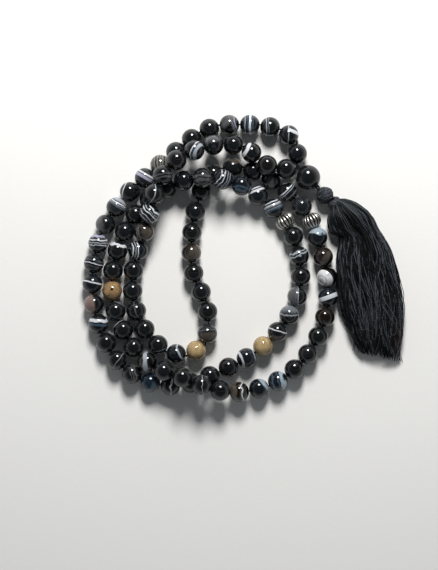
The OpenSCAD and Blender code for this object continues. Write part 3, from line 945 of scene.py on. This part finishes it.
def looped_paths():
    """Threads that run down the front, turn back in a small loop, and end among the others."""
    found = []
    for _ in range(22):
        start, turn = rng.uniform(0.35, 0.6), rng.uniform(0.72, 0.9)
        place = rng.uniform(-0.55, 0.6)
        bend = rng.uniform(0.5, 1.1) * MM * rng.choice((-1, 1))
        down = np.linspace(start, turn, 22)
        curl = np.linspace(0, np.pi, 9)[1:]
        back = np.linspace(turn, turn - rng.uniform(0.03, 0.12), 6)[1:]
        t = np.concatenate([down, turn + 0.012 * np.sin(curl), back])
        out = np.concatenate([np.zeros(len(down)), bend * (1 - np.cos(curl)),
                              np.full(len(back), 2 * bend)])
        centre, side, half, height = sections(t)
        sway = 0.08 * np.sin(9 * t + rng.uniform(0, 6))
        path = centre + (half * (place + sway) + out)[:, None] * side
        rise = np.sqrt(1 - np.clip(place + sway, -0.9, 0.9) ** 2)
        path[:, 2] += height * rise * rng.uniform(1.0, 1.04)
        found.append(path)
    return found


RIDGES = 24


def add_core(material):
    """The close-packed threads under the ones that show, as one ribbed body, in the darker copy of
    the silk that paints their shade.
    """
    centre, side, half, height = tassel_curve(90)
    keep = slice(2, 86)
    sides = 96
    angles = np.linspace(0, 2 * np.pi, sides, endpoint=False)
    depth = 0.86 * (1 + 0.035 * np.cos(RIDGES * angles + 3))
    c, s, w, h = centre[keep], side[keep], half[keep], height[keep]
    rows = len(c)
    close = np.ones(rows)
    close[:4] = (0.35, 0.7, 0.9, 1)
    close[-4:] = (1, 0.9, 0.7, 0.35)
    points = (c[:, None, :] + (w * close)[:, None, None] * (np.cos(angles) * depth)[None, :, None]
              * s[:, None, :])
    points[:, :, 2] += (h * close)[:, None] * (np.sin(angles) * depth)[None, :]
    quads = grid_faces(rows, sides, False, True).tolist()
    quads += [list(range(sides))[::-1], list(range((rows - 1) * sides, rows * sides))]
    values = {"shade": np.tile(0.15 + 0.1 * np.cos(RIDGES * angles), rows),
              "along": np.repeat(np.arange(rows) * 0.8, sides),
              "turn": np.tile(RIDGES * angles, rows), "tip": np.zeros(rows * sides)}
    add_piece("tassel_core", points.reshape(-1, 3), quads, [material], "tassel",
              ["tassel_head"], values)


def add_tassel():
    """A full head and skirt of separate threads over a core, with a binding at the waist."""
    silk = thread_material("tassel_silk", rgb(5, 6, 7), rgb(96, 102, 110), rgb(72, 54, 42), 0.02)
    # The same silk copied much darker for the core, the under threads and the waist binding: painted
    # shade where the outer threads cover them.
    deep = thread_material("tassel_silk_painted_shade", rgb(4, 5, 5), rgb(20, 21, 24), sheen=0.0)
    add_core(deep)
    under = thread_paths(300, 0.82, 0.93, 40, 0.3, 0.16 * MM)
    add_threads("tassel_under_threads", under, [THREAD_R] * len(under), 5,
                rng.random(len(under)), deep, "tassel", "tassel_thread")
    for part in ("first", "second"):
        over = thread_paths(350, 0.9, 1.03, 42, 0.42, 0.22 * MM)
        right_end = max(path[-1, 0] for path in over)
        tips = [0.8 if path[-1, 0] > right_end - 3 * MM and rng.random() < 0.35
                else 0.25 * (rng.random() < 0.1) for path in over]
        shades = np.where(rng.random(len(over)) < 0.3, rng.uniform(0.55, 1.0, len(over)),
                          rng.uniform(0, 0.14, len(over)))
        add_threads(f"tassel_outer_threads_{part}", over, [THREAD_R] * len(over), 5, shades, silk,
                    "tassel", "tassel_thread", ["tassel_skirt"], tips=tips)
    stray = edge_paths() + tip_paths() + looped_paths()
    add_threads("tassel_stray_threads", stray, [0.8 * THREAD_R] * len(stray), 5,
                rng.uniform(0.3, 1, len(stray)), silk, "tassel", "tassel_thread")
    add_waist(deep)
    add_knot(silk)


def add_waist(material):
    """A few turns of thread that hold the head in, half sunk among the threads, in the darker copy of
    the silk that paints their shade.
    """
    centre, side, half, height = TASSEL
    low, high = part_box("waist_binding")
    middle = np.array((low + high) / 2)
    at = int(np.argmin(np.linalg.norm(centre - middle, axis=1)))
    t = np.linspace(0, 2 * np.pi, 90)
    turns = []
    for k in range(4):
        row = at + k - 2
        path = centre[row] + (half[row] * 0.93 * np.cos(t))[:, None] * side[row]
        path[:, 2] += height[row] * 0.93 * np.sin(t)
        turns.append(above_floor(path))
    add_threads("waist_binding_turns", turns, [0.22 * MM] * 4, 6, [0.2, 0.4, 0.3, 0.5], material,
                "tassel", "tassel_thread", ["waist_binding"])


# How far the round knot's middle lies from the stem towards the lump, in x and in y.
KNOT_SHARE = (0.405, 0.49)


def add_knot(material):
    """The round knot and the lump past it, wound from doubled thread."""
    lump = np.array(HINGES["tassel"]["pos_m"])
    stem = np.array(HINGES["knot"]["pos_m"])
    low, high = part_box("tassel_knot")
    ball_r = (high.z - low.z) / 2
    way = lump - stem
    ball = np.array([stem[0] + KNOT_SHARE[0] * way[0], stem[1] + KNOT_SHARE[1] * way[1],
                     (low.z + high.z) / 2])
    layers = ((ball, ball_r - 0.75 * MM, 30, 44, 0.44 * MM),
              (ball, ball_r - 0.42 * MM, 26, 44, 0.42 * MM),
              (lump, 2.35 * MM, 24, 36, 0.4 * MM))
    loops, radii = [], []
    for middle, wound_r, turns, steps, thread_r in layers:
        loops += wound_ball(middle, way, wound_r, turns, 0.4 * MM, steps)
        radii += [thread_r] * turns
    t = np.linspace(0, 1, 24)
    wrap = turned_to(ball - stem)
    for k in range(3):
        spin = 2 * np.pi * (k / 3 + 0.8 * t)
        loops.append(stem + t[:, None] * (ball - stem) + 0.42 * MM * (
            np.cos(spin)[:, None] * wrap[:, 0] + np.sin(spin)[:, None] * wrap[:, 1]))
        radii.append(0.42 * MM)
    add_threads("tassel_knot_wound", loops, radii, 9, 0.25 + 0.5 * rng.random(len(loops)), material,
                "knot", "tassel_thread", ["tassel_knot"], lobes=2, pitch=1.6 * MM)


# ---------------------------------------------------------------- build

bpy.context.scene.view_settings.view_transform = "Standard"
add_camera()
add_cords()
add_world()
add_lamp("key", (0.02, 0.44, 0.42), 0.2, 4.4, (1, 0.985, 0.96))
add_floor()
add_stones()
add_guru()
add_dividers()
add_tassel()
